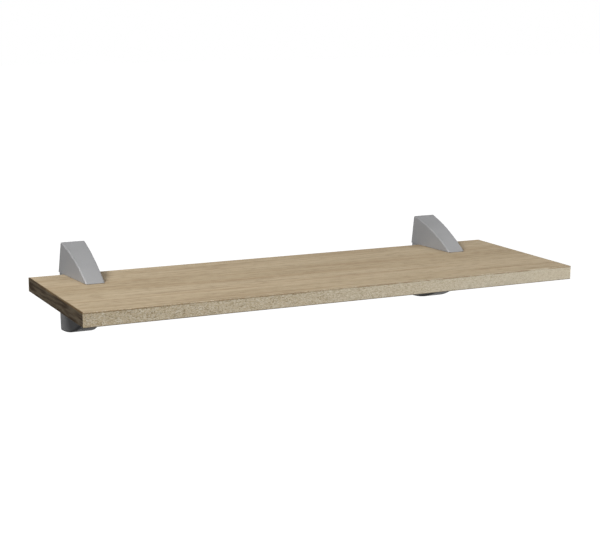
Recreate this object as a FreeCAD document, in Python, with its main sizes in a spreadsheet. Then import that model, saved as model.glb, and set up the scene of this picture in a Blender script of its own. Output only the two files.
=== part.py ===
"""Wall shelf: a wood-decor board held by two hidden-fixing clamp brackets.

Frame: x along the board, -y out of the wall into the room, z up. The origin lies on the wall plane, at
the centre of the four wall-screw holes and level with the underside of the board. Millimetres.

Each bracket is a die-cast lower jaw that hangs on a steel plate screwed to the wall, and a die-cast upper
jaw that slides on a spine behind the board. One screw from below draws the upper jaw down.
"""
import FreeCAD, Part
import math
import os
import Sketcher

DIMENSIONS = {
    # The board: a particle-board core, decor sheets on both faces and edging on all four sides.
    "board_length": 600,
    "board_depth": 200,
    "board_thickness": 16,
    "decor_thickness": 0.3,
    "edging_thickness": 1,
    "edging_round": 0.6,
    # Where the board and the brackets stand. The board reaches further past the right bracket.
    "wall_gap": 15,
    "bracket_spacing": 468,
    "board_shift": 9,
    # What both jaws share: half their width at the wall and board level, the plan taper in degrees, the
    # wall of the casting, and how far its solid back block reaches over the board.
    "jaw_half_width": 17.5,
    "plan_taper": 4.6,
    "casting_wall": 3.2,
    "back_block": 3,
    "pad_ledge": 1.6,
    # The upper jaw, measured from the top of the board and from the wall.
    "upper_rise": 35.5,
    "upper_reach": 82,
    "upper_arc_radius": 240,
    "upper_draft": 5.6,
    "upper_toe_block": 12,
    "upper_round": 2,
    # The lower jaw, measured from the underside of the board and from the wall.
    "lower_drop": 53,
    "lower_arc_radius": 110,
    "lower_draft": 1.2,
    "lower_toe_block": 16,
    "lower_round": 3,
    "toe_round": 1,
    # The spine of the lower jaw and the channel of the upper jaw that slides on it.
    "spine_half_width": 10,
    "spine_web": 1.5,
    "spine_roof": 2,
    "slide_gap": 0.3,
    "skirt_clear": 1,
    # Soft pads between the jaws and the board.
    "pad_thickness": 1.6,
    "pad_proud": 0.4,
    "pad_fit": 0.1,
    # The wall plate.
    "plate_thickness": 2.5,
    "plate_half_width": 7,
    "plate_foot_half_width": 13,
    "plate_foot_height": 8,
    "plate_foot_cover": 6,
    "plate_tongue_height": 8,
    "plate_tongue_cover": 7.5,
    "plate_ear_reach": 9,
    "plate_ear_start": 6.5,
    "plate_fit": 0.15,
    "wall_hole_margin": 4,
    "wall_hole_radius": 2.75,
    "wall_head_radius": 5.2,
    "wall_head_room": 3.2,
    # The clamp screw, M5 with a socket head, its washer, clip and nut.
    "screw_radius": 2.5,
    "screw_chamfer": 0.7,
    "screw_clearance": 0.3,
    "screw_board_gap": 0.5,
    "head_radius": 4.25,
    "head_height": 5,
    "head_recess": 1.4,
    "head_clearance": 0.6,
    "socket_flats": 4,
    "socket_depth": 2.6,
    "chamfer": 0.4,
    "washer_radius": 4.5,
    "washer_thickness": 1,
    "clip_radius": 4.1,
    "clip_thickness": 0.7,
    "clip_mouth": 3.2,
    "clip_depth": 6,
    "clip_groove_depth": 0.5,
    "clip_clearance": 0.4,
    "nut_flats": 8,
    "nut_thickness": 4.7,
    "nut_height": 8,
    "nut_fit": 0.1,
    "thread_fit": 0.05,
    "jaw_travel": 9,
    # The grub screw that wedges the lower jaw down on the wall plate.
    "lock_radius": 2.5,
    "lock_length": 5,
    "lock_cone": 1,
    "lock_across": 9.75,
    "lock_out": 5.75,
    "lock_socket_flats": 2.5,
    "lock_socket_depth": 2.5,
    "lock_fit": 0.1,
}

# How far a cut or a joined block starts inside or outside the face that it crosses.
OVERLAP = "1"

# Two places nearer to each other than this are one place.
NEAR = 0.01

# How far the flanks of a jaw run past the wall and the toe, before its side view trims them.
FLANK_OVERRUN = "40"

doc = FreeCAD.newDocument("wall_shelf")
sheet = doc.addObject("Spreadsheet::Sheet", "dims")
for row, (alias, number) in enumerate(DIMENSIONS.items(), start=1):
    sheet.set(f"A{row}", alias)
    sheet.set(f"B{row}", str(number))
    sheet.setAlias(f"B{row}", alias)
doc.recompute()


# ---------------------------------------------------------------- drawing helpers

def value(expression):
    """The number that an expression gives with the sheet as it stands."""
    return float(sheet.evalExpression(expression))


def new_body(name):
    """A PartDesign body with its label, which names the file of a sub-part."""
    body = doc.addObject("PartDesign::Body", name)
    body.Label = name
    return body


def place(body, x="0", y="0", z="0"):
    """Moves a finished body to its seat."""
    for axis, expression in zip("xyz", (x, y, z)):
        body.setExpression(f"Placement.Base.{axis}", expression)


def new_sketch(body, name, plane, lift=None):
    """A sketch on one of the body's own origin planes, moved along the plane's normal by lift."""
    sketch = body.newObject("Sketcher::SketchObject", name)
    support = next(item for item in body.Origin.OriginFeatures if item.Role == plane)
    sketch.AttachmentSupport = [(support, "")]
    sketch.MapMode = "FlatFace"
    if lift is not None:
        sketch.setExpression("AttachmentOffset.Base.z", lift)
    return sketch


def tie_point(sketch, geometry, end, x, y):
    """Ties one point of a sketch to two expressions."""
    for kind, expression in (("DistanceX", x), ("DistanceY", y)):
        rule = sketch.addConstraint(Sketcher.Constraint(kind, -1, 1, geometry, end, value(expression)))
        sketch.setExpression(f"Constraints[{rule}]", expression)


def outline(body, name, plane, points, radii=None, lift=None):
    """A closed outline, counter-clockwise. radii gives the sides that are arcs, which bulge outwards."""
    radii = radii or {}
    sketch = new_sketch(body, name, plane, lift)
    corners = [FreeCAD.Vector(value(x), value(y), 0) for x, y in points]
    for side, start in enumerate(corners):
        end = corners[(side + 1) % len(corners)]
        if side not in radii:
            sketch.addGeometry(Part.LineSegment(start, end))
            continue
        radius = value(radii[side])
        chord = end - start
        inward = FreeCAD.Vector(-chord.y, chord.x, 0).normalize()
        centre = (start + end) / 2 + inward * math.sqrt(radius**2 - chord.Length**2 / 4)
        whole = Part.Circle(centre, FreeCAD.Vector(0, 0, 1), radius)
        angles = [math.atan2(p.y - centre.y, p.x - centre.x) for p in (start, end)]
        sketch.addGeometry(Part.ArcOfCircle(whole, *angles))
    for side, (x, y) in enumerate(points):
        sketch.addConstraint(Sketcher.Constraint("Coincident", side, 2, (side + 1) % len(points), 1))
        tie_point(sketch, side, 1, x, y)
        if side in radii:
            rule = sketch.addConstraint(Sketcher.Constraint("Radius", side, value(radii[side])))
            sketch.setExpression(f"Constraints[{rule}]", radii[side])
    return sketch


def circle(body, name, plane, radius, x="0", y="0", lift=None):
    """A sketch of one full circle."""
    sketch = new_sketch(body, name, plane, lift)
    centre = FreeCAD.Vector(value(x), value(y), 0)
    sketch.addGeometry(Part.Circle(centre, FreeCAD.Vector(0, 0, 1), value(radius)))
    tie_point(sketch, 0, 3, x, y)
    rule = sketch.addConstraint(Sketcher.Constraint("Radius", 0, value(radius)))
    sketch.setExpression(f"Constraints[{rule}]", radius)
    return sketch


def rectangle(x_span, y_span):
    """The corners of a rectangle between two spans, counter-clockwise."""
    (x0, x1), (y0, y1) = x_span, y_span
    return [(x0, y0), (x1, y0), (x1, y1), (x0, y1)]


def hexagon(flats):
    """The corners of a hexagon of a given width across flats, with its flats square to y."""
    corner = f"({flats}) / sqrt(3)"
    return [(f"{corner} * cos({60 * turn})", f"{corner} * sin({60 * turn})") for turn in range(6)]


def both_ways(half):
    """The span from minus half to plus half."""
    return f"-({half})", half


def pad(body, sketch, length, symmetric=False, down=False, lean=None):
    """Adds the prism of a sketch. lean tilts its sides inwards, in degrees."""
    feature = body.newObject("PartDesign::Pad", sketch.Name + "_pad")
    feature.Profile = sketch
    feature.Midplane = symmetric
    feature.Reversed = down
    feature.setExpression("Length", length)
    if lean:
        feature.setExpression("TaperAngle", f"-{lean}")
    doc.recompute()
    return feature


def pocket(body, sketch, length, symmetric=False):
    """Cuts the prism of a sketch on the side its normal points to, and checks that it cut something."""
    before = body.Shape.Volume
    feature = body.newObject("PartDesign::Pocket", sketch.Name + "_pocket")
    feature.Profile = sketch
    feature.Midplane = symmetric
    feature.Reversed = not symmetric
    feature.setExpression("Length", length)
    doc.recompute()
    if not body.Shape.Volume < before:
        raise RuntimeError(f"{feature.Name} cut nothing")
    return feature


def block(body, name, across, out, up, cut=False):
    """Adds or cuts a block. across, out and up are its spans along x, y and z."""
    sketch = outline(body, name, "XY_Plane", rectangle(across, out), lift=up[0])
    height = f"({up[1]}) - ({up[0]})"
    if cut:
        pocket(body, sketch, height)
    else:
        pad(body, sketch, height)


def bore(body, name, radius, centre, up):
    """Cuts a round hole along z between two heights."""
    sketch = circle(body, name, "XY_Plane", radius, *centre, lift=up[0])
    pocket(body, sketch, f"({up[1]}) - ({up[0]})")


def join(body, name, kind, tool):
    """Combines the body with another body: kind is Common or Cut."""
    feature = body.newObject("PartDesign::Boolean", name)
    feature.Type = kind
    feature.setObjects([tool])
    doc.recompute()


def fillet(body, name, radius, wanted):
    """Rounds the edges of the body that the wanted function picks."""
    edges = [f"Edge{index}" for index, edge in enumerate(body.Shape.Edges, start=1) if wanted(edge)]
    if not edges:
        raise RuntimeError(f"{name} found no edge")
    base = body.Tip
    feature = body.newObject("PartDesign::Fillet", name)
    feature.Base = (base, edges)
    feature.setExpression("Radius", radius)
    doc.recompute()


def revolve(body, sketch):
    """A turned solid: the half section is drawn in x and z and turned about z."""
    feature = body.newObject("PartDesign::Revolution", sketch.Name + "_turned")
    feature.Profile = sketch
    feature.ReferenceAxis = (sketch, ["V_Axis"])
    feature.Angle = 360
    doc.recompute()


# ---------------------------------------------------------------- the board

BOARD_BACK = "-dims.wall_gap"
BOARD_FRONT = "-(dims.wall_gap + dims.board_depth)"
CORE_BACK = f"({BOARD_BACK} - dims.edging_thickness)"
CORE_FRONT = f"({BOARD_FRONT} + dims.edging_thickness)"
CORE_HALF = "(dims.board_length / 2 - dims.edging_thickness)"
CORE_UNDER = "dims.decor_thickness"
CORE_OVER = "(dims.board_thickness - dims.decor_thickness)"


def build_board():
    """The core and the two decor sheets fill the frame that the four edgings make."""
    layers = {
        "board_core": (CORE_UNDER, CORE_OVER),
        "bottom_laminate": ("0", CORE_UNDER),
        "top_laminate": (CORE_OVER, "dims.board_thickness"),
    }
    pieces = []
    for label, up in layers.items():
        body = new_body(label)
        block(body, label + "_plan", both_ways(CORE_HALF), (CORE_FRONT, CORE_BACK), up)
        pieces.append(body)
    pieces += [build_long_edging(side) for side in ("front", "rear")]
    pieces += [build_end_edging(side) for side in ("left", "right")]
    for body in pieces:
        place(body, "dims.board_shift")
    return pieces


def outer_long_edges(edge):
    """Picks an edge that runs along the board."""
    return edge.BoundBox.XLength > edge.BoundBox.YLength + edge.BoundBox.ZLength


def build_long_edging(side):
    """Edging glued along the front or the rear, with its two outer arrises broken."""
    body = new_body(f"{side}_edging")
    out = (BOARD_FRONT, CORE_FRONT) if side == "front" else (CORE_BACK, BOARD_BACK)
    face = value(BOARD_FRONT if side == "front" else BOARD_BACK)
    block(body, f"{side}_strip", both_ways("dims.board_length / 2"), out, ("0", "dims.board_thickness"))
    fillet(body, f"{side}_arris", "dims.edging_round",
           lambda edge: outer_long_edges(edge) and abs(edge.CenterOfMass.y - face) < NEAR)
    return body


def build_end_edging(side):
    """Edging glued to an end of the board, between the two long strips."""
    body = new_body(f"{side}_edging")
    end = "dims.board_length / 2"
    across = (f"-{end}", f"-{CORE_HALF}") if side == "left" else (CORE_HALF, end)
    face = value(f"-{end}" if side == "left" else end)
    block(body, f"{side}_strip", across, (CORE_FRONT, CORE_BACK), ("0", "dims.board_thickness"))
    fillet(body, f"{side}_arris", "dims.edging_round",
           lambda edge: edge.BoundBox.ZLength < NEAR and abs(edge.CenterOfMass.x - face) < NEAR)
    return body


# ---------------------------------------------------------------- shared places of a bracket

# Faces of the two castings that meet the board, and the floors of the seats that hold the pads.
LOWER_FACE = "-dims.pad_proud"
UPPER_FACE = "(dims.board_thickness + dims.pad_proud)"
LOWER_SEAT = "(-dims.pad_thickness)"
UPPER_SEAT = "(dims.board_thickness + dims.pad_thickness)"
BLOCK_FRONT = "(dims.wall_gap + dims.back_block)"
PAD_BACK = f"({BLOCK_FRONT} - dims.pad_ledge)"

# The spine stands between the wall and the clamp screw.
SPINE_FRONT = "(dims.plate_thickness + dims.wall_head_room + dims.spine_web)"
SPINE_TOP = "(dims.board_thickness + dims.upper_rise - dims.plate_tongue_cover + dims.spine_roof)"
CHANNEL_FRONT = f"({SPINE_FRONT} + dims.slide_gap)"
CHANNEL_HALF = "(dims.spine_half_width + dims.slide_gap)"
SKIRT_FRONT = "(dims.wall_gap - dims.slide_gap)"

# Heights along the wall plate, which spans both jaws.
TONGUE_TOP = "(dims.board_thickness + dims.upper_rise - dims.plate_tongue_cover)"
JOGGLE = f"({TONGUE_TOP} - dims.plate_tongue_height)"
FOOT_BOTTOM = "(dims.plate_foot_cover - dims.lower_drop)"
FOOT_TOP = f"({FOOT_BOTTOM} + dims.plate_foot_height)"
WALL_HOLE_UP = f"({JOGGLE} - dims.wall_hole_margin)"

# The clamp screw passes just behind the rear edge of the board.
SCREW_OUT = "(dims.wall_gap - dims.screw_radius - dims.screw_board_gap)"
HEAD_TOP = "(dims.head_recess + dims.head_height - dims.lower_drop)"
WASHER_TOP = f"({HEAD_TOP} + dims.washer_thickness)"
CLIP_FLOOR = f"({LOWER_FACE} - dims.clip_depth)"
NUT_UNDER = "(dims.board_thickness + dims.nut_height)"
SCREW_END = f"({NUT_UNDER} + dims.nut_thickness + dims.jaw_travel + dims.screw_chamfer)"
SCREW_LENGTH = f"({SCREW_END} - {HEAD_TOP})"
LOWER_REACH = ("sqrt(dims.lower_arc_radius^2"
               " - (dims.lower_arc_radius - dims.lower_drop + dims.pad_proud)^2)")


def half_width(out):
    """Half the width of a jaw at a distance from the wall, at board level."""
    return f"(dims.jaw_half_width - ({out}) * tan(dims.plan_taper))"


def jaw_plan(near, far, inset="0"):
    """Plan outline of a jaw between two distances from the wall, set in from its flanks."""
    near_half = f"{half_width(near)} - ({inset})"
    far_half = f"{half_width(far)} - ({inset})"
    return [(f"-({far_half})", f"-({far})"), (far_half, f"-({far})"),
            (near_half, f"-({near})"), (f"-({near_half})", f"-({near})")]


def wedge(name, profile, radii, reach, inset, rise, lean, down):
    """A solid with a side view of its own, between flanks that taper in plan and lean inwards."""
    face = LOWER_FACE if down else UPPER_FACE
    plan = jaw_plan(f"-{FLANK_OVERRUN}", f"{reach} + {FLANK_OVERRUN}", inset)
    flanks = new_body(name + "_flanks")
    pad(flanks, outline(flanks, name + "_plan", "XY_Plane", plan, lift=face), rise, down=down, lean=lean)
    body = new_body(name)
    pad(body, outline(body, name + "_side", "YZ_Plane", profile, radii), "4 * dims.jaw_half_width",
        symmetric=True)
    join(body, name + "_common", "Common", flanks)
    return body


def along_flank(edge, reach):
    """Picks the bowed edges between a jaw's curved face and its flanks."""
    return edge.BoundBox.YLength > value(reach) / 2 and edge.BoundBox.ZLength > NEAR


# ---------------------------------------------------------------- lower jaw

def build_lower_jaw(side, x):
    """Die-cast lower jaw: a quarter-bow below the board, a spine behind it, hollow under the pad."""
    name = f"{side}_lower_jaw"
    profile = [("0", LOWER_FACE), (f"-{LOWER_REACH}", LOWER_FACE), ("0", "-dims.lower_drop")]
    body = wedge(name, profile, {1: "dims.lower_arc_radius"}, LOWER_REACH, "0", "dims.lower_drop",
                 "dims.lower_draft", down=True)
    fillet(body, name + "_round", "dims.lower_round", lambda edge: along_flank(edge, LOWER_REACH))
    toe = -value(LOWER_REACH)
    fillet(body, name + "_toe", "dims.toe_round",
           lambda edge: edge.BoundBox.YLength < NEAR and abs(edge.CenterOfMass.y - toe) < NEAR)

    hollow_end = f"({LOWER_REACH} - dims.lower_toe_block)"
    inner_radius = "(dims.lower_arc_radius - dims.casting_wall)"

    def inner_height(out):
        """Height of the inside of the bowed wall at a distance from the wall plane."""
        return f"(dims.lower_arc_radius - dims.lower_drop - sqrt({inner_radius}^2 - ({out})^2))"

    hollow = [(f"-{BLOCK_FRONT}", LOWER_FACE), (f"-{hollow_end}", LOWER_FACE),
              (f"-{hollow_end}", inner_height(hollow_end)),
              (f"-{BLOCK_FRONT}", inner_height(BLOCK_FRONT))]
    core = wedge(name + "_hollow", hollow, {2: inner_radius}, LOWER_REACH,
                 "dims.casting_wall", "dims.lower_drop", "dims.lower_draft", down=True)
    join(body, name + "_hollowed", "Cut", core)

    # The spine behind the board, and the seat of the pad.
    block(body, name + "_spine", both_ways("dims.spine_half_width"), (f"-{SPINE_FRONT}", "0"),
          (f"{LOWER_FACE} - {OVERLAP}", SPINE_TOP))
    seat = jaw_plan(PAD_BACK, f"{hollow_end} + dims.pad_ledge",
                    "dims.casting_wall - dims.pad_ledge")
    pocket(body, outline(body, name + "_pad_seat", "XY_Plane", seat, lift=LOWER_SEAT),
           f"{LOWER_FACE} - {LOWER_SEAT}")

    # The recess in the back for the wall plate, with a bridge at the top that hooks behind its tongue.
    strip = both_ways("dims.plate_half_width + dims.plate_fit")
    foot = both_ways("dims.plate_foot_half_width + dims.plate_fit")
    recess = "-(dims.plate_thickness + dims.plate_fit)"
    tongue = ("-(2 * dims.plate_thickness + dims.plate_fit)", "-(dims.plate_thickness - dims.plate_fit)")
    block(body, name + "_strip_recess", strip, (recess, "0"),
          (FOOT_TOP, f"{JOGGLE} + dims.plate_thickness + dims.plate_fit"), cut=True)
    block(body, name + "_tongue_slot", strip, tongue,
          (f"{JOGGLE} - dims.plate_thickness", TONGUE_TOP), cut=True)
    block(body, name + "_foot_recess", foot, (recess, "0"),
          (f"{FOOT_BOTTOM} - dims.plate_fit", f"{FOOT_TOP} + dims.plate_fit"), cut=True)
    block(body, name + "_ear_recess",
          ("dims.plate_ear_start - dims.plate_fit", "dims.plate_foot_half_width + dims.plate_fit"),
          ("-(dims.plate_ear_reach + dims.plate_fit)", "0"),
          (f"{FOOT_BOTTOM} - dims.plate_fit", f"{FOOT_BOTTOM} + dims.plate_thickness + dims.plate_fit"),
          cut=True)

    # Room for the heads of the two wall screws.
    for end, sign in (("upper", ""), ("lower", "-")):
        sketch = circle(body, f"{name}_{end}_head_room", "XZ_Plane", "dims.wall_head_radius",
                        "0", f"{sign}{WALL_HOLE_UP}")
        pocket(body, sketch, "dims.plate_thickness + dims.wall_head_room")

    # The clamp screw: counterbore from below, clearance hole, and room for its clip at the top.
    centre = ("0", f"-{SCREW_OUT}")
    bore(body, name + "_counterbore", "dims.washer_radius + dims.head_clearance", centre,
         (f"-dims.lower_drop - {OVERLAP}", WASHER_TOP))
    bore(body, name + "_screw_hole", "dims.screw_radius + dims.screw_clearance", centre,
         (f"{WASHER_TOP} - {OVERLAP}", f"{LOWER_FACE} + {OVERLAP}"))
    bore(body, name + "_clip_room", "dims.clip_radius + dims.clip_clearance", centre,
         (CLIP_FLOOR, LOWER_FACE))

    # The threaded hole of the lock screw, up to the ear of the plate.
    bore(body, name + "_lock_hole", "dims.lock_radius + dims.lock_fit",
         ("dims.lock_across", "-dims.lock_out"), (f"-dims.lower_drop - {OVERLAP}", FOOT_BOTTOM))
    place(body, x)
    return body


# ---------------------------------------------------------------- upper jaw

RUN = "(dims.upper_reach - dims.slide_gap)"
FALL = "(dims.upper_rise - dims.pad_proud)"
CHORD = f"sqrt({RUN}^2 + {FALL}^2)"
BOW = f"sqrt(dims.upper_arc_radius^2 - {CHORD}^2 / 4)"
ARC_OUT = f"((dims.upper_reach + dims.slide_gap) / 2 - {BOW} * {FALL} / {CHORD})"
ARC_UP = f"(dims.board_thickness + (dims.upper_rise + dims.pad_proud) / 2 - {BOW} * {RUN} / {CHORD})"


def build_upper_jaw(side, x):
    """Die-cast upper jaw: a bowed wedge above the board, with a channel and two cheeks at the back."""
    name = f"{side}_upper_jaw"
    top = "(dims.board_thickness + dims.upper_rise)"
    profile = [("-dims.upper_reach", UPPER_FACE), ("-dims.slide_gap", UPPER_FACE), ("-dims.slide_gap", top)]
    body = wedge(name, profile, {2: "dims.upper_arc_radius"}, "dims.upper_reach", "0", "dims.upper_rise",
                 "dims.upper_draft", down=False)
    crest = value(top)
    fillet(body, name + "_round", "dims.upper_round",
           lambda edge: along_flank(edge, "dims.upper_reach") or abs(edge.CenterOfMass.z - crest) < NEAR)

    # The hollow in front of the back block, under the bowed face.
    hollow_end = "(dims.upper_reach - dims.upper_toe_block)"
    inner_radius = "(dims.upper_arc_radius - dims.casting_wall)"

    def inner_height(out):
        """Height of the inside of the bowed wall at a distance from the wall plane."""
        return f"({ARC_UP} + sqrt({inner_radius}^2 - (({out}) - {ARC_OUT})^2))"

    hollow = [(f"-{hollow_end}", UPPER_FACE), (f"-{BLOCK_FRONT}", UPPER_FACE),
              (f"-{BLOCK_FRONT}", inner_height(BLOCK_FRONT)),
              (f"-{hollow_end}", inner_height(hollow_end))]
    core = wedge(name + "_hollow", hollow, {2: inner_radius}, "dims.upper_reach",
                 "dims.casting_wall", "dims.upper_rise", "dims.upper_draft", down=False)
    join(body, name + "_hollowed", "Cut", core)

    # The skirt behind the board, then the channel that slides on the spine and clears the screw.
    skirt_half = half_width("dims.wall_gap")
    block(body, name + "_skirt", both_ways(skirt_half), (f"-{SKIRT_FRONT}", "-dims.slide_gap"),
          ("dims.skirt_clear", f"{UPPER_FACE} + {OVERLAP}"))
    block(body, name + "_channel", both_ways(CHANNEL_HALF), (f"-{CHANNEL_FRONT}", "0"),
          (f"dims.skirt_clear - {OVERLAP}", f"{SPINE_TOP} + dims.slide_gap"), cut=True)
    block(body, name + "_screw_slot", both_ways(CHANNEL_HALF),
          (f"-{SKIRT_FRONT} - {OVERLAP}", f"-{SPINE_FRONT}"),
          (f"dims.skirt_clear - {OVERLAP}", UPPER_FACE), cut=True)
    seat = jaw_plan(PAD_BACK, f"{hollow_end} + dims.pad_ledge",
                    "dims.casting_wall - dims.pad_ledge")
    pocket(body, outline(body, name + "_pad_seat", "XY_Plane", seat, lift=UPPER_FACE),
           f"{UPPER_SEAT} - {UPPER_FACE}")

    # The hole for the screw and the slot that holds its nut, open to the channel.
    bore(body, name + "_screw_hole", "dims.screw_radius + dims.screw_clearance", ("0", f"-{SCREW_OUT}"),
         (UPPER_FACE, f"{SCREW_END} + dims.screw_clearance"))
    nut_half = "(dims.nut_flats / sqrt(3) + dims.nut_fit)"
    block(body, name + "_nut_slot", both_ways(nut_half),
          (f"-({SCREW_OUT} + dims.nut_flats / 2 + dims.nut_fit)", f"-{SPINE_FRONT}"),
          (f"{NUT_UNDER} - dims.nut_fit", f"{NUT_UNDER} + dims.nut_thickness + dims.nut_fit"), cut=True)
    place(body, x)
    return body


# ---------------------------------------------------------------- small parts of a bracket

def build_pad(side, x, jaw):
    """Thin soft pad between a jaw and the board, tapered with the jaw and held in a shallow seat."""
    body = new_body(f"{side}_{jaw}_pad")
    reach = LOWER_REACH if jaw == "lower" else "dims.upper_reach"
    under = LOWER_SEAT if jaw == "lower" else "dims.board_thickness"
    plan = jaw_plan(f"{PAD_BACK} + dims.pad_fit",
                    f"{reach} - dims.{jaw}_toe_block + dims.pad_ledge - dims.pad_fit",
                    "dims.casting_wall - dims.pad_ledge + dims.pad_fit")
    pad(body, outline(body, body.Name + "_plan", "XY_Plane", plan, lift=under), "dims.pad_thickness")
    place(body, x)
    return body


def build_wall_plate(side, x):
    """Pressed steel plate: a strip with two screw holes, a joggled tongue, a wide foot and one ear."""
    name = f"{side}_wall_plate"
    body = new_body(name)
    thick = "dims.plate_thickness"
    set_out = f"{thick} * tan(22.5)"
    section = [
        (f"-{thick}", FOOT_BOTTOM),
        ("0", FOOT_BOTTOM),
        ("0", JOGGLE),
        (f"-{thick}", f"{JOGGLE} + {thick}"),
        (f"-{thick}", TONGUE_TOP),
        (f"-2 * {thick}", TONGUE_TOP),
        (f"-2 * {thick}", f"{JOGGLE} + {thick} - {set_out}"),
        (f"-{thick}", f"{JOGGLE} - {set_out}"),
    ]
    pad(body, outline(body, name + "_section", "YZ_Plane", section), "2 * dims.plate_half_width",
        symmetric=True)
    block(body, name + "_foot", both_ways("dims.plate_foot_half_width"), (f"-{thick}", "0"),
          (FOOT_BOTTOM, FOOT_TOP))
    block(body, name + "_ear", ("dims.plate_ear_start", "dims.plate_foot_half_width"),
          ("-dims.plate_ear_reach", "0"), (FOOT_BOTTOM, f"{FOOT_BOTTOM} + {thick}"))
    for end, sign in (("upper", ""), ("lower", "-")):
        sketch = circle(body, f"{name}_{end}_hole", "XZ_Plane", "dims.wall_hole_radius",
                        "0", f"{sign}{WALL_HOLE_UP}")
        pocket(body, sketch, "2 * dims.plate_thickness")
    place(body, x)
    return body


def build_clamp_screw(side, x):
    """Socket-head screw, turned in one piece with a groove for its clip near the middle."""
    body = new_body(f"{side}_clamp_screw")
    groove = "(dims.screw_radius - dims.clip_groove_depth)"
    groove_under = f"({CLIP_FLOOR} - {HEAD_TOP})"
    groove_over = f"({groove_under} + dims.clip_thickness)"
    section = [
        ("0", "-dims.head_height"),
        ("dims.head_radius - dims.chamfer", "-dims.head_height"),
        ("dims.head_radius", "-dims.head_height + dims.chamfer"),
        ("dims.head_radius", "0"),
        ("dims.screw_radius", "0"),
        ("dims.screw_radius", groove_under),
        (groove, groove_under),
        (groove, groove_over),
        ("dims.screw_radius", groove_over),
        ("dims.screw_radius", f"{SCREW_LENGTH} - dims.screw_chamfer"),
        ("dims.screw_radius - dims.screw_chamfer", SCREW_LENGTH),
        ("0", SCREW_LENGTH),
    ]
    revolve(body, outline(body, body.Name + "_section", "XZ_Plane", section))
    socket = outline(body, body.Name + "_socket", "XY_Plane", hexagon("dims.socket_flats"),
                     lift="-dims.head_height")
    pocket(body, socket, "dims.socket_depth")
    place(body, x, f"-{SCREW_OUT}", HEAD_TOP)
    return body


def build_washer(side, x):
    """Plain washer under the head of the clamp screw."""
    body = new_body(f"{side}_washer")
    rim = circle(body, body.Name + "_rim", "XY_Plane", "dims.washer_radius")
    pad(body, rim, "dims.washer_thickness")
    bore(body, body.Name + "_hole", "dims.screw_radius + dims.screw_clearance", ("0", "0"),
         ("0", "dims.washer_thickness"))
    place(body, x, f"-{SCREW_OUT}", HEAD_TOP)
    return body


def build_retaining_clip(side, x):
    """Open clip in the groove of the clamp screw: it pushes the upper jaw up when the screw is undone."""
    body = new_body(f"{side}_retaining_clip")
    groove = "(dims.screw_radius - dims.clip_groove_depth)"
    rim = circle(body, body.Name + "_rim", "XY_Plane", "dims.clip_radius")
    pad(body, rim, "dims.clip_thickness")
    bore(body, body.Name + "_hole", f"{groove} + dims.thread_fit", ("0", "0"),
         ("0", "dims.clip_thickness"))
    block(body, body.Name + "_mouth", both_ways("dims.clip_mouth / 2"), ("-2 * dims.clip_radius", "0"),
          ("0", "dims.clip_thickness"), cut=True)
    place(body, x, f"-{SCREW_OUT}", CLIP_FLOOR)
    return body


def build_clamp_nut(side, x):
    """Hexagon nut held in the slot of the upper jaw, with its flats towards the wall and the room."""
    body = new_body(f"{side}_clamp_nut")
    pad(body, outline(body, body.Name + "_plan", "XY_Plane", hexagon("dims.nut_flats")),
        "dims.nut_thickness")
    bore(body, body.Name + "_thread", "dims.screw_radius + dims.thread_fit", ("0", "0"),
         ("0", "dims.nut_thickness"))
    place(body, x, f"-{SCREW_OUT}", NUT_UNDER)
    return body


def build_lock_screw(side, x):
    """Grub screw that bears on the ear of the wall plate and pulls the casting down on its tongue."""
    body = new_body(f"{side}_lock_screw")
    section = [
        ("0", "-dims.lock_length"),
        ("dims.lock_radius - dims.chamfer", "-dims.lock_length"),
        ("dims.lock_radius", "-dims.lock_length + dims.chamfer"),
        ("dims.lock_radius", "-dims.lock_cone"),
        ("dims.lock_radius - dims.lock_cone", "0"),
        ("0", "0"),
    ]
    revolve(body, outline(body, body.Name + "_section", "XZ_Plane", section))
    socket = outline(body, body.Name + "_socket", "XY_Plane", hexagon("dims.lock_socket_flats"),
                     lift="-dims.lock_length")
    pocket(body, socket, "dims.lock_socket_depth")
    place(body, f"{x} + dims.lock_across", "-dims.lock_out", FOOT_BOTTOM)
    return body


def build_bracket(side, sign):
    """All the pieces of one bracket, at its place along the board."""
    x = f"{sign}dims.bracket_spacing / 2"
    return [
        build_wall_plate(side, x),
        build_lower_jaw(side, x),
        build_upper_jaw(side, x),
        build_pad(side, x, "lower"),
        build_pad(side, x, "upper"),
        build_clamp_screw(side, x),
        build_washer(side, x),
        build_retaining_clip(side, x),
        build_clamp_nut(side, x),
        build_lock_screw(side, x),
    ]


# ---------------------------------------------------------------- build, check and write

subparts = build_board()
for bracket_side, bracket_sign in (("left", "-"), ("right", "")):
    subparts += build_bracket(bracket_side, bracket_sign)
doc.recompute()

for item in doc.Objects:
    if "Invalid" in item.State or "Error" in item.State:
        raise RuntimeError(f"{item.Label} failed: {item.State}")
os.makedirs("parts", exist_ok=True)
for subpart in subparts:
    shape = subpart.Shape
    if shape.isNull() or not shape.isValid() or len(shape.Solids) != 1:
        raise RuntimeError(f"{subpart.Label} is not one valid solid")
    print(f"{subpart.Label:24s} {shape.Volume / 1000:9.3f} cm3")
for subpart in subparts:
    subpart.Shape.exportStep(f"parts/{subpart.Label}.step")
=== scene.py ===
import math

import bmesh
import bpy
from mathutils import Matrix, Vector


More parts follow.
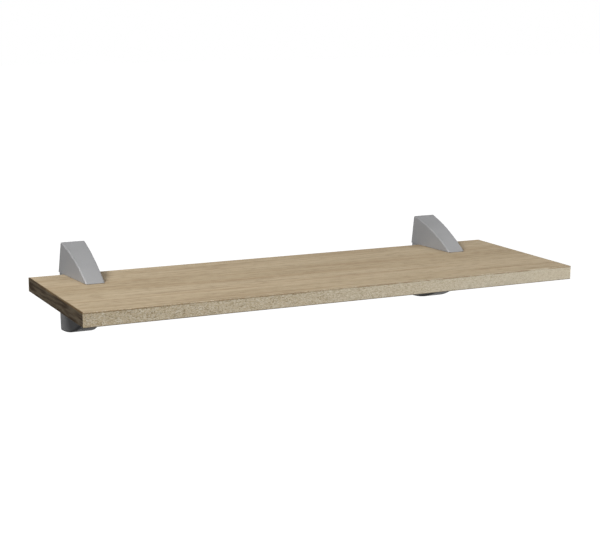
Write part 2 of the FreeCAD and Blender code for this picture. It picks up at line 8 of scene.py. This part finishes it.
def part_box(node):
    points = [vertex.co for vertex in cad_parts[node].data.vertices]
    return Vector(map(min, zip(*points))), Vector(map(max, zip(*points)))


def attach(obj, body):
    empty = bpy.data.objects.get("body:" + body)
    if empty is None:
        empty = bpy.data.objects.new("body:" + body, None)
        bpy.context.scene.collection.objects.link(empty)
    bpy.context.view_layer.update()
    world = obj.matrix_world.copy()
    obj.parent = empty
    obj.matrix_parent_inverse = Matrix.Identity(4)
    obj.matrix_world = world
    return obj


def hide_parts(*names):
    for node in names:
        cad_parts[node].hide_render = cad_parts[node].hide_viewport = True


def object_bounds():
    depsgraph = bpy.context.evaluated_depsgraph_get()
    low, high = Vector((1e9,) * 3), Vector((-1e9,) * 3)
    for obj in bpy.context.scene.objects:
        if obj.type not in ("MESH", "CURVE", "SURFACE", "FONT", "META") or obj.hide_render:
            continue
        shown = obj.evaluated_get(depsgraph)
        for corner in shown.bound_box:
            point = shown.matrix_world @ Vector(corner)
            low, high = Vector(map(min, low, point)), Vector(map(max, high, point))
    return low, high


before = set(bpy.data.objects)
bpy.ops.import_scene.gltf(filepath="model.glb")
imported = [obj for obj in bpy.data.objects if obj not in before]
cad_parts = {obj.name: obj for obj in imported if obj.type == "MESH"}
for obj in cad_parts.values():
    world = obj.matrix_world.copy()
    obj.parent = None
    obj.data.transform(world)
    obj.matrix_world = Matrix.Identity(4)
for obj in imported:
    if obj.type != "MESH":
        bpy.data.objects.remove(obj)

cad_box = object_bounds()


# ---------------------------------------------------------------- camera
# The shelf is seen from the room, from the left and a little above, through a long lens.

board_low, board_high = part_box("board_core")
board_middle = (board_low[0] + board_high[0]) / 2
eye_place = Vector((board_middle - 0.729, -1.588, 0.339))
eye_azimuth = math.radians(-26.08)
eye_elevation = math.radians(11.26)
eye_roll = math.radians(0.25)

eye = bpy.data.cameras.new("eye")
eye.sensor_width = 36
eye.lens = 86.94
eye.clip_start = 0.05
eye.clip_end = 200
eye_object = bpy.data.objects.new("eye", eye)
bpy.context.scene.collection.objects.link(eye_object)
eye_turn = Matrix.Rotation(eye_azimuth, 4, "Z")
eye_tilt = Matrix.Rotation(math.pi / 2 - eye_elevation, 4, "X")
eye_level = Matrix.Rotation(eye_roll, 4, "Z")
eye_object.matrix_world = Matrix.Translation(eye_place) @ eye_turn @ eye_tilt @ eye_level
bpy.context.scene.camera = eye_object


# ---------------------------------------------------------------- board core
# Three-layer particle board: coarse chips pressed in the middle and fine ones at the faces. The
# decor sheets and the edging cover it on all sides. Its finish, like all the others, is written as
# sums on numbers that vary over a surface.

class Number:
    """A number that varies over a surface. Arithmetic on it adds Math nodes to its tree."""

    def __init__(self, nodes, socket):
        self.nodes = nodes
        self.socket = socket

    def math(self, operation, *terms):
        """One Math node on the given terms."""
        made = self.nodes.node("ShaderNodeMath", {"operation": operation}, dict(enumerate(terms)))
        return Number(self.nodes, made.outputs[0])

    def __add__(self, other):
        return self.math("ADD", self, other)

    def __sub__(self, other):
        return self.math("SUBTRACT", self, other)

    def __rsub__(self, other):
        return self.math("SUBTRACT", other, self)

    def __mul__(self, other):
        return self.math("MULTIPLY", self, other)

    def __abs__(self):
        return self.math("ABSOLUTE", self)

    __radd__ = __add__
    __rmul__ = __mul__

    def ramp(self, low, high):
        """0 below low, 1 above high, smooth between; low above high turns it round."""
        first, last = (low, high) if low < high else (high, low)
        made = self.nodes.node(
            "ShaderNodeMapRange",
            {"interpolation_type": "SMOOTHSTEP"},
            {"Value": self, "From Min": first, "From Max": last,
             "To Min": 0.0 if low < high else 1.0, "To Max": 1.0 if low < high else 0.0},
        )
        return Number(self.nodes, made.outputs["Result"])


class Nodes:
    """Writes the nodes of one tree."""

    def __init__(self, tree):
        self.tree = tree

    def node(self, kind, settings=None, inputs=None):
        """Any node: its settings are set first, then the values or links of its sockets."""
        made = self.tree.nodes.new(kind)
        for name, setting in (settings or {}).items():
            setattr(made, name, setting)
        for name, given in (inputs or {}).items():
            self.feed(made.inputs[name], given)
        return made

    def feed(self, socket, given):
        """Links a number or a socket, or sets a constant."""
        if isinstance(given, Number):
            given = given.socket
        if isinstance(given, bpy.types.NodeSocket):
            self.tree.links.new(given, socket)
        else:
            socket.default_value = given


class Finish(Nodes):
    """One material: its nodes, and the places that it reads on a piece."""

    def __init__(self, name, **constants):
        self.material = bpy.data.materials.new(name)
        self.material.use_nodes = True
        super().__init__(self.material.node_tree)
        self.skin = self.tree.nodes["Principled BSDF"]
        for socket, number in constants.items():
            self.skin.inputs[socket.replace("_", " ")].default_value = number
        self.place = self.node("ShaderNodeTexCoord").outputs["Object"]
        apart = self.node("ShaderNodeSeparateXYZ", inputs={"Vector": self.place})
        self.x, self.z = (Number(self, apart.outputs[axis]) for axis in "XZ")

    def stretched(self, x, y, z, turn=(0, 0, 0), at=None):
        """The place on the piece, or another one, scaled along each axis to cycles a metre."""
        made = self.node("ShaderNodeMapping", {},
                         {"Vector": self.place if at is None else at, "Scale": (x, y, z),
                          "Rotation": turn})
        return made.outputs[0]

    def noise(self, at, detail=2.0, rough=0.5, warp=0.0, seed=0.0):
        """Soft noise from about 0.25 to 0.75, at a place."""
        made = self.node("ShaderNodeTexNoise", {"noise_dimensions": "4D"},
                         {"Vector": at, "W": seed, "Scale": 1.0, "Detail": detail,
                          "Roughness": rough, "Distortion": warp})
        return Number(self, made.outputs["Fac"])

    def cells(self, at):
        """Distance to the nearest of many scattered points."""
        made = self.node("ShaderNodeTexVoronoi", {"feature": "F1"}, {"Vector": at, "Scale": 1.0})
        return Number(self, made.outputs["Distance"])

    def blend(self, share, first, second):
        """A colour between two. A Mix node has its colours after its numbers and vectors."""
        made = self.node("ShaderNodeMix", {"data_type": "RGBA"},
                         {"Factor": share, 6: first, 7: second})
        return made.outputs[2]

    def bump(self, height, depth):
        """A normal from a height from 0 to 1 that stands for a depth in metres."""
        made = self.node("ShaderNodeBump", {},
                         {"Height": height, "Distance": depth, "Strength": 1.0})
        return made.outputs["Normal"]

    def wear(self, **sockets):
        """Feeds the skin's sockets that vary over the surface."""
        for name, given in sockets.items():
            self.feed(self.skin.inputs[name.replace("_", " ")], given)
        return self.material


def tone(red, green, blue):
    """A colour from its display values, 0 to 255."""
    def linear(shade):
        shade = shade / 255
        return shade / 12.92 if shade <= 0.04045 else ((shade + 0.055) / 1.055) ** 2.4
    return (linear(red), linear(green), linear(blue), 1.0)


def dress(node, material):
    """Gives a CAD node its material."""
    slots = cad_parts[node].data.materials
    slots.clear()
    slots.append(material)


chip_brown = tone(122, 92, 60)
chip_pale = tone(196, 166, 122)
chip_relief = 0.0004


def particle_board():
    core = Finish("particle_board", Roughness=0.9, Specular_IOR_Level=0.2)
    chips = core.cells(core.stretched(160, 160, 420))
    dust = core.noise(core.stretched(900, 900, 900), detail=3)
    shade = (chips * 0.7 + dust * 0.6).ramp(0.25, 0.95)
    colour = core.blend(shade, chip_brown, chip_pale)
    return core.wear(Base_Color=colour, Normal=core.bump(chips, chip_relief))


dress("board_core", particle_board())


# ---------------------------------------------------------------- decor sheets
# Melamine paper printed as straight-grained oak, with short dark pores along the grain, and pressed
# on a plate that leaves a fine relief. It is glued over both faces of the core.

oak_pale = tone(183, 166, 138)
oak_tan = tone(169, 151, 122)
oak_pink = tone(160, 137, 107)
oak_dark = tone(126, 105, 78)
grain_drift = 0.007
pore_depth = 0.00012


def oak_grain(sheet, seed):
    """Colour, relief and fibre of straight oak grain along x."""
    wander = sheet.noise(sheet.stretched(1.3, 7, 7), detail=1, seed=seed)
    drift = sheet.node("ShaderNodeCombineXYZ", {},
                       {"X": 0.0, "Y": (wander - 0.5) * grain_drift, "Z": 0.0}).outputs[0]
    bent = sheet.node("ShaderNodeVectorMath", {"operation": "ADD"},
                      {0: sheet.place, 1: drift}).outputs[0]

    def along(x, y, detail, rough=0.5, offset=0.0):
        """Noise of x cycles a metre along the grain and y across it."""
        return sheet.noise(sheet.stretched(x, y, y, at=bent), detail=detail, rough=rough,
                           seed=seed + offset)

    plank = along(1.2, 26, 2)
    band = along(3.4, 150, 3, 0.6, 3.1)
    streak = along(7, 310, 3, 0.6, 7.7)
    dash = along(85, 330, 2, 0.6, 15.2)
    fibre = along(16, 900, 3, 0.65, 11.3)
    pore = along(30, 1500, 1, 0.5, 19.9)
    colour = sheet.blend(plank.ramp(0.38, 0.62), oak_pale, oak_tan)
    colour = sheet.blend(band.ramp(0.46, 0.62) * 0.7, colour, oak_pink)
    colour = sheet.blend(streak.ramp(0.52, 0.64) * 0.42, colour, oak_dark)
    colour = sheet.blend(streak.ramp(0.46, 0.36) * 0.65, colour, oak_pale)
    colour = sheet.blend(dash.ramp(0.50, 0.66) * 0.34, colour, oak_dark)
    colour = sheet.blend(dash.ramp(0.46, 0.34) * 0.40, colour, oak_pale)
    colour = sheet.blend(fibre.ramp(0.44, 0.66) * 0.25, colour, oak_pale)
    colour = sheet.blend(pore.ramp(0.56, 0.70) * 0.30, colour, oak_dark)
    relief = 1 - pore.ramp(0.54, 0.66) * 0.8 - fibre * 0.2
    return colour, relief, fibre


def oak_sheet(name, seed):
    sheet = Finish(name, Specular_IOR_Level=0.35)
    colour, relief, fibre = oak_grain(sheet, seed)
    return sheet.wear(Base_Color=colour, Roughness=fibre * 0.25 + 0.46,
                      Normal=sheet.bump(relief, pore_depth))


dress("top_laminate", oak_sheet("oak_decor_top", 2.0))
dress("bottom_laminate", oak_sheet("oak_decor_bottom", 41.0))


# ---------------------------------------------------------------- edging
# Printed edge tape, a millimetre thick, glued round the board and trimmed with a small round on its
# outer arrises. Its print is a short curly figure, and painted shade darkens it on the two ends.
# A thin brown line along the top is partly the glue and cut paper where the tape meets the decor
# sheets, and partly painted shadow under the rounded arris. A dark line of painted shadow runs
# along the foot of the tape.

tape_tan = tone(191, 174, 143)
tape_grey = tone(187, 177, 155)
curl_brown = tone(142, 124, 94)
fleck_pale = tone(212, 203, 183)
# Painted shade for the two ends of the tape.
painted_end_shade = tone(48, 33, 13)
glue_and_shadow_brown = tone(124, 98, 60)
foot_shadow_brown = tone(86, 74, 56)
tape_relief = 0.00008
top_line_drop = 0.0005
top_line_reach = 0.0013
top_line_solid = 0.0003
foot_shadow_height = 0.0010


def edge_tape(name, seed, shaded_end):
    tape = Finish(name, Specular_IOR_Level=0.3)
    curl = tape.noise(tape.stretched(230, 230, 560, turn=(0.5, 0.5, 0.0)), detail=1, warp=2.2,
                      seed=seed)
    fleck = tape.noise(tape.stretched(340, 340, 860, turn=(-0.4, -0.4, 0.0)), detail=1, warp=1.6,
                       seed=seed + 5)
    cloud = tape.noise(tape.stretched(9, 9, 60), detail=2, seed=seed + 9)
    # The tape turns greyer, and its figure fainter, towards +x.
    grey = tape.x.ramp(-0.25, 0.25) * 0.8 + cloud.ramp(0.65, 0.35) * 0.2
    colour = tape.blend(grey, tape_tan, tape_grey)
    figure = tape.x.ramp(0.30, -0.25) * 0.60 + 0.46
    colour = tape.blend(curl.ramp(0.50, 0.62) * figure * 0.85, colour, curl_brown)
    colour = tape.blend(fleck.ramp(0.50, 0.62) * figure * 0.90, colour, fleck_pale)
    # The two ends get painted shade: a dark brown laid over the tape, with a faint streak.
    if shaded_end:
        strake = tape.noise(tape.stretched(24, 24, 420), detail=2, seed=seed + 21)
        colour = tape.blend(strake.ramp(0.40, 0.62) * 0.16 + 0.83, colour, painted_end_shade)
    # A thin brown line near the top: partly the glue joint, partly painted shadow under the rounded
    # arris.
    top_line = abs(tape.z - (board_high[2] - top_line_drop)).ramp(top_line_reach, top_line_solid)
    # A dark band of painted shadow along the foot of the tape.
    foot_shadow = tape.z.ramp(board_low[2] + foot_shadow_height, board_low[2])
    broken = tape.noise(tape.stretched(30, 30, 30), detail=3, seed=seed + 13).ramp(0.3, 0.6)
    colour = tape.blend(top_line * (broken * 0.60 + 0.10), colour, glue_and_shadow_brown)
    colour = tape.blend(foot_shadow * 0.75, colour, foot_shadow_brown)
    return tape.wear(Base_Color=colour, Roughness=fleck * 0.2 + 0.42,
                     Normal=tape.bump(curl * 0.6 + fleck * 0.4, tape_relief))


for side, seed, shaded_end in (("front", 3.0, False), ("rear", 17.0, False),
                            ("left", 23.0, True), ("right", 31.0, True)):
    dress(f"{side}_edging", edge_tape(f"edge_tape_{side}", seed, shaded_end))


# ---------------------------------------------------------------- jaw castings
# Both jaws of a bracket are zinc die castings, tumbled to soften their edges and sprayed with a
# satin silver-grey lacquer that has a fine metal flake and a faint orange peel.

sides = ("left", "right")
lacquer_grey = tone(143, 143, 144)
lacquer_pale = tone(159, 159, 160)
lacquer_relief = 0.00003


def silver_lacquer():
    coat = Finish("silver_lacquer", Metallic=0.2, Specular_IOR_Level=0.5)
    flake = coat.cells(coat.stretched(5200, 5200, 5200))
    peel = coat.noise(coat.stretched(420, 420, 420), detail=2)
    mist = coat.noise(coat.stretched(26, 26, 26), detail=3)
    shade = flake * 0.35 + mist * 0.5
    colour = coat.blend(shade.ramp(0.15, 0.65), lacquer_grey, lacquer_pale)
    return coat.wear(Base_Color=colour, Roughness=mist * 0.10 + flake * 0.08 + 0.34,
                     Normal=coat.bump(peel * 0.8 + flake * 0.2, lacquer_relief))


lacquer_skin = silver_lacquer()
for side in sides:
    dress(f"{side}_upper_jaw", lacquer_skin)
    dress(f"{side}_lower_jaw", lacquer_skin)


# ---------------------------------------------------------------- pads
# Thin moulded rubber pads with a dull, slightly bloomed skin. One lies in a shallow seat in each
# jaw, and keeps the lacquer off the decor.

pad_black = tone(38, 38, 39)
pad_bloom = tone(58, 58, 58)
pad_relief = 0.00005


def pad_rubber():
    rubber = Finish("pad_rubber", Specular_IOR_Level=0.3)
    grain = rubber.noise(rubber.stretched(1400, 1400, 1400), detail=3)
    bloom = rubber.noise(rubber.stretched(60, 60, 60), detail=2)
    colour = rubber.blend(bloom, pad_black, pad_bloom)
    return rubber.wear(Base_Color=colour, Roughness=grain * 0.3 + 0.6,
                       Normal=rubber.bump(grain, pad_relief))


rubber_skin = pad_rubber()
for side in sides:
    dress(f"{side}_upper_pad", rubber_skin)
    dress(f"{side}_lower_pad", rubber_skin)


# ---------------------------------------------------------------- wall plates
# Pressed and bent from 2.5 mm steel strip, then zinc plated and passivated, so they keep the
# rolling lines of the sheet and a cloudy, slightly blue and yellow shine.

zinc_blue = tone(158, 162, 168)
zinc_yellow = tone(178, 174, 162)
rolled_relief = 0.00002


def zinc_plate():
    zinc = Finish("zinc_plate", Metallic=0.95)
    spangle = zinc.noise(zinc.stretched(90, 90, 90), detail=4, rough=0.6, warp=0.4)
    rolled = zinc.noise(zinc.stretched(1800, 1800, 30), detail=2)
    colour = zinc.blend(spangle.ramp(0.35, 0.65), zinc_blue, zinc_yellow)
    return zinc.wear(Base_Color=colour, Roughness=spangle * 0.2 + rolled * 0.15 + 0.32,
                     Normal=zinc.bump(rolled, rolled_relief))


zinc_skin = zinc_plate()
for side in sides:
    dress(f"{side}_wall_plate", zinc_skin)


# ---------------------------------------------------------------- clamp screws and washers
# One M5 socket-head screw of zinc-plated steel, on a plated washer, runs up through each bracket.
# Its head is cold-formed and knurled, its shank is plain with a groove for the clip, and the
# right-hand thread above is rolled.

turned_relief = 0.00002


def screw_steel(name, dark, light, rough):
    """Turned or rolled steel between two colours, with a least roughness."""
    steel = Finish(name, Metallic=0.9)
    blotch = steel.noise(steel.stretched(260, 260, 260), detail=3)
    turned_lines = steel.noise(steel.stretched(40, 40, 2600), detail=2)
    colour = steel.blend(blotch.ramp(0.3, 0.7), dark, light)
    return steel.wear(Base_Color=colour, Roughness=blotch * 0.2 + rough,
                      Normal=steel.bump(turned_lines, turned_relief))


plated_steel = screw_steel("plated_steel", tone(158, 160, 164), tone(190, 190, 186), 0.22)

screw_radius = 0.0025
thread_pitch = 0.0008
thread_root = 0.00203
thread_crest = 0.00247
root_end = 0.25
crest_start = 0.56
crest_end = 0.69
spare_turns = 2
turn_steps = 24
thread_gap = 0.002
head_radius = 0.00425
head_height = 0.005
head_chamfer = 0.0004
head_shoulder = 0.0002
knurl_steps = 72
knurl_depth = 0.00014
socket_flats = 0.004
socket_depth = 0.0026
socket_cone = 0.0004
socket_mouth = 0.00262
socket_lead = 0.0002
tip_chamfer = 0.0007
weld = 1e-6
fine_weld = 1e-7


def added(work, known):
    """The vertices that aren't among the known ones."""
    return [vert for vert in work.verts if vert not in known]


def touching(verts, kind):
    """The link_edges or link_faces of some vertices, each once, in the order they are met."""
    return list(dict.fromkeys(item for vert in verts for item in getattr(vert, kind)))


def turned(work, section, steps, closed=False):
    """Turns a half section of (radius, height) about z and returns the vertices that it makes."""
    known = set(work.verts)
    spots = [work.verts.new((radius, 0, height)) for radius, height in section]
    pairs = list(zip(spots, spots[1:])) + ([(spots[-1], spots[0])] if closed else [])
    edges = [work.edges.new(pair) for pair in pairs]
    bmesh.ops.spin(work, geom=spots + edges, cent=(0, 0, 0), axis=(0, 0, 1), dvec=(0, 0, 0),
                   angle=2 * math.pi, steps=steps, use_merge=True, use_duplicate=False)
    bmesh.ops.remove_doubles(work, verts=added(work, known), dist=weld)
    return added(work, known)


def threaded(work, low, high):
    """A right-hand threaded tube, open at both ends, cut square at two heights.

    One turn is swept. It is then doubled until it reaches past both heights, and welded.
    """
    known = set(work.verts)
    start = low - spare_turns * thread_pitch
    turns = math.ceil((high - low) / thread_pitch) + 2 * spare_turns
    section = [(thread_root, 0), (thread_root, root_end), (thread_crest, crest_start),
               (thread_crest, crest_end), (thread_root, 1)]
    spots = [work.verts.new((radius, 0, start + share * thread_pitch))
             for radius, share in section]
    edges = [work.edges.new(pair) for pair in zip(spots, spots[1:])]
    bmesh.ops.spin(work, geom=spots + edges, cent=(0, 0, 0), axis=(0, 0, 1),
                   dvec=(0, 0, thread_pitch / turn_steps), angle=2 * math.pi, steps=turn_steps,
                   use_merge=False, use_duplicate=False)
    done = 1
    while done < turns:
        faces = touching(added(work, known), "link_faces")
        copies = bmesh.ops.duplicate(work, geom=faces)["geom"]
        copied = [item for item in copies if isinstance(item, bmesh.types.BMVert)]
        bmesh.ops.translate(work, verts=copied, vec=(0, 0, done * thread_pitch))
        done *= 2
    bmesh.ops.remove_doubles(work, verts=added(work, known), dist=weld)
    for height, outward in ((low, -1), (high, 1)):
        whole = added(work, known)
        parts = whole + touching(whole, "link_edges") + touching(whole, "link_faces")
        bmesh.ops.bisect_plane(work, geom=parts, dist=fine_weld, plane_co=(0, 0, height),
                               plane_no=(0, 0, outward), clear_outer=True)
    return added(work, known)


def turn_down(verts, limit):
    """Brings in every vertex that stands further from the axis than the limit at its height."""
    for vert in verts:
        radius = math.hypot(vert.co.x, vert.co.y)
        most = limit(vert.co.z)
        if radius > most:
            vert.co.x *= most / radius
            vert.co.y *= most / radius


def hexed(verts, radius, flats):
    """Moves the rings of one radius out to a hexagon with a corner on the x axis."""
    for vert in verts:
        reach = math.hypot(vert.co.x, vert.co.y)
        if abs(reach - radius) < weld:
            turn = math.atan2(vert.co.y, vert.co.x) % (math.pi / 3) - math.pi / 6
            vert.co.x *= flats / 2 / math.cos(turn) / reach
            vert.co.y *= flats / 2 / math.cos(turn) / reach


def fill_end(work, height):
    """Closes what is open at one height."""
    rim = [edge for edge in work.edges
           if edge.is_boundary and all(abs(vert.co.z - height) < weld for vert in edge.verts)]
    bmesh.ops.triangle_fill(work, edges=rim, use_beauty=True)


def finished(work, name, place, node, body, finish):
    """Makes a piece of a mesh about z, at its place, that stands for a CAD node."""
    bmesh.ops.remove_doubles(work, verts=work.verts, dist=fine_weld)
    bmesh.ops.recalc_face_normals(work, faces=work.faces)
    bmesh.ops.translate(work, verts=work.verts, vec=place)
    mesh = bpy.data.meshes.new(name)
    work.to_mesh(mesh)
    work.free()
    mesh.materials.append(finish)
    piece = bpy.data.objects.new(name, mesh)
    bpy.context.scene.collection.objects.link(piece)
    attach(piece, body)
    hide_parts(node)


def axis_of(node):
    """The middle of a node in plan, and its lowest and highest places."""
    low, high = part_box(node)
    return (low[0] + high[0]) / 2, (low[1] + high[1]) / 2, low[2], high[2]


for side in sides:
    x, y, foot, tip = axis_of(f"{side}_clamp_screw")
    groove_low, groove_high = (corner[2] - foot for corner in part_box(f"{side}_retaining_clip"))
    length = tip - foot
    socket_ring = socket_flats / 2
    thread_start = groove_high + thread_gap
    screw = bmesh.new()
    lathe = turned(screw, [
        (0, socket_depth + socket_cone),
        (socket_ring, socket_depth),
        (socket_ring, socket_lead),
        (socket_mouth, 0),
        (head_radius - head_chamfer, 0),
        (head_radius, head_chamfer),
        (head_radius, head_height - head_shoulder),
        (head_radius - head_shoulder, head_height),
        (screw_radius, head_height),
        (screw_radius, groove_low),
        (thread_root, groove_low),
        (thread_root, groove_high),
        (screw_radius, groove_high),
        (screw_radius, thread_start),
    ], knurl_steps)
    hexed(lathe, socket_ring, socket_flats)
    for vert in lathe:
        ridge = round(math.atan2(vert.co.y, vert.co.x) / (2 * math.pi / knurl_steps))
        if ridge % 2 and abs(math.hypot(vert.co.x, vert.co.y) - head_radius) < weld:
            vert.co.x *= 1 - knurl_depth / head_radius
            vert.co.y *= 1 - knurl_depth / head_radius
    rod = threaded(screw, thread_start, length)
    turn_down(rod, lambda height: screw_radius - (height - length + tip_chamfer))
    fill_end(screw, thread_start)
    fill_end(screw, length)
    finished(screw, f"{side}_clamp_screw_threaded", (x, y, foot), f"{side}_clamp_screw",
             f"{side}_screw_turn", plated_steel)
    dress(f"{side}_washer", plated_steel)


# ---------------------------------------------------------------- clamp nuts
# A hexagon nut of zinc-plated steel with both faces chamfered, held from turning by the slot of
# the upper jaw. Its bore is countersunk where the thread starts.

nut_flats = 0.008
nut_thickness = 0.0047
nut_bore = 0.00255
nut_countersink = 0.0003
nut_face = 0.0038
nut_slope = math.tan(math.radians(30))

for side in sides:
    x, y, foot, _ = axis_of(f"{side}_clamp_nut")
    nut = bmesh.new()
    ring = nut_flats / 2
    lathe = turned(nut, [
        (nut_bore, nut_countersink),
        (nut_bore + nut_countersink, 0),
        (nut_face, 0),
        (ring, 0),
        (ring, nut_thickness),
        (nut_face, nut_thickness),
        (nut_bore + nut_countersink, nut_thickness),
        (nut_bore, nut_thickness - nut_countersink),
    ], knurl_steps, closed=True)
    hexed(lathe, ring, nut_flats)
    for vert in lathe:
        fall = (math.hypot(vert.co.x, vert.co.y) - nut_face) * nut_slope
        if fall > 0:
            vert.co.z = fall if vert.co.z < nut_thickness / 2 else nut_thickness - fall
    finished(nut, f"{side}_clamp_nut_chamfered", (x, y, foot), f"{side}_clamp_nut",
             f"{side}_upper_jaw_slide", plated_steel)


# ---------------------------------------------------------------- lock screws and clips
# The lock screw is an M5 socket set screw of blackened alloy steel, its blunt cone point towards
# the ear of the wall plate. The clip is stamped from phosphated spring steel and snaps into the
# groove of the clamp screw.

black_steel = screw_steel("black_steel", tone(28, 28, 30), tone(44, 44, 46), 0.35)
phosphated_steel = screw_steel("phosphated_steel", tone(60, 60, 62), tone(84, 84, 86), 0.40)

lock_flats = 0.0025
lock_socket_depth = 0.0025
lock_foot_chamfer = 0.0004
lock_cone = 0.001

for side in sides:
    x, y, foot, tip = axis_of(f"{side}_lock_screw")
    length = tip - foot
    lock = bmesh.new()
    rod = threaded(lock, 0, length)
    turn_down(rod, lambda height: screw_radius - max(height - length + lock_cone,
                                                     lock_foot_chamfer - height))
    fill_end(lock, length)
    rim = bmesh.ops.create_circle(lock, cap_ends=False, segments=6,
                                  radius=lock_flats / math.sqrt(3))
    walls = bmesh.ops.extrude_edge_only(lock, edges=touching(rim["verts"], "link_edges"))
    floor_ring = [item for item in walls["geom"] if isinstance(item, bmesh.types.BMVert)]
    bmesh.ops.translate(lock, verts=floor_ring, vec=(0, 0, lock_socket_depth))
    fill_end(lock, lock_socket_depth)
    fill_end(lock, 0)
    finished(lock, f"{side}_lock_screw_threaded", (x, y, foot), f"{side}_lock_screw", "shelf",
             black_steel)
    dress(f"{side}_retaining_clip", phosphated_steel)


# ---------------------------------------------------------------- studio
# A pale floor lies far below the shelf. A large soft light from the front right and a steep one
# from the left do most of the lighting. Weak ones above, at the wall and low behind lift the rest.

def soft_light(name, place, aim, width, height, power):
    """A rectangular soft light that faces a point."""
    light = bpy.data.lights.new(name, "AREA")
    light.shape = "RECTANGLE"
    light.size = width
    light.size_y = height
    light.energy = power
    lamp = bpy.data.objects.new(name, light)
    bpy.context.scene.collection.objects.link(lamp)
    lamp.location = place
    lamp.rotation_euler = (Vector(aim) - Vector(place)).to_track_quat("-Z", "Y").to_euler()


soft_light("ceiling_light", place=(0.25, -0.35, 1.7), aim=(0, -0.1, 0),
           width=2.0, height=1.6, power=3.5)
soft_light("front_light", place=(1.7, -1.9, 0.55), aim=(0.15, -0.1, 0.02),
           width=2.2, height=2.2, power=69)
soft_light("wall_light", place=(-1.35, 1.35, 0.45), aim=(-0.1, -0.1, 0.05),
           width=1.0, height=0.5, power=2.7)
soft_light("side_light", place=(-1.5, -0.2, 1.62), aim=(0, -0.05, 0.04),
           width=1.4, height=0.5, power=42)
soft_light("back_light", place=(0.9, 1.9, -0.55), aim=(0, -0.05, 0),
           width=2.6, height=1.8, power=12)

floor_drop = 3
floor_size = 60
floor_glow = 0.97
white = (1, 1, 1, 1)
floor_grey = (0.5, 0.5, 0.5, 1)

floor_mesh = bmesh.new()
bmesh.ops.create_grid(floor_mesh, x_segments=1, y_segments=1, size=floor_size)
bmesh.ops.translate(floor_mesh, verts=floor_mesh.verts, vec=(0, 0, cad_box[0].z - floor_drop))
floor_data = bpy.data.meshes.new("floor")
floor_mesh.to_mesh(floor_data)
floor_mesh.free()
floor_data.materials.append(Finish(
    "pale_floor", Roughness=0.9, Specular_IOR_Level=0.1, Base_Color=floor_grey,
    Emission_Color=white, Emission_Strength=floor_glow).material)
floor = bpy.data.objects.new("floor", floor_data)
bpy.context.scene.collection.objects.link(floor)
floor.visible_diffuse = False
floor.visible_glossy = False

# The room glows a little more from above than from below, and looks white where it is seen.
glow_foot = -0.5
glow_top = 0.7
least_glow = 0.05
most_glow = 0.22

world = bpy.data.worlds.new("studio")
bpy.context.scene.world = world
world.use_nodes = True
room = Nodes(world.node_tree)
direction = room.node("ShaderNodeTexCoord").outputs["Generated"]
upward = room.node("ShaderNodeSeparateXYZ", {}, {"Vector": direction}).outputs["Z"]
glow = room.node("ShaderNodeMapRange", {},
                 {"Value": upward, "From Min": glow_foot, "From Max": glow_top,
                  "To Min": least_glow, "To Max": most_glow}).outputs["Result"]
seen = room.node("ShaderNodeLightPath").outputs["Is Camera Ray"]
strength = room.node("ShaderNodeMapRange", {},
                     {"Value": seen, "To Min": glow, "To Max": 1.0}).outputs["Result"]
backdrop = room.tree.nodes["Background"]
room.feed(backdrop.inputs["Color"], white)
room.feed(backdrop.inputs["Strength"], strength)
bpy.context.scene.view_settings.view_transform = "Standard"
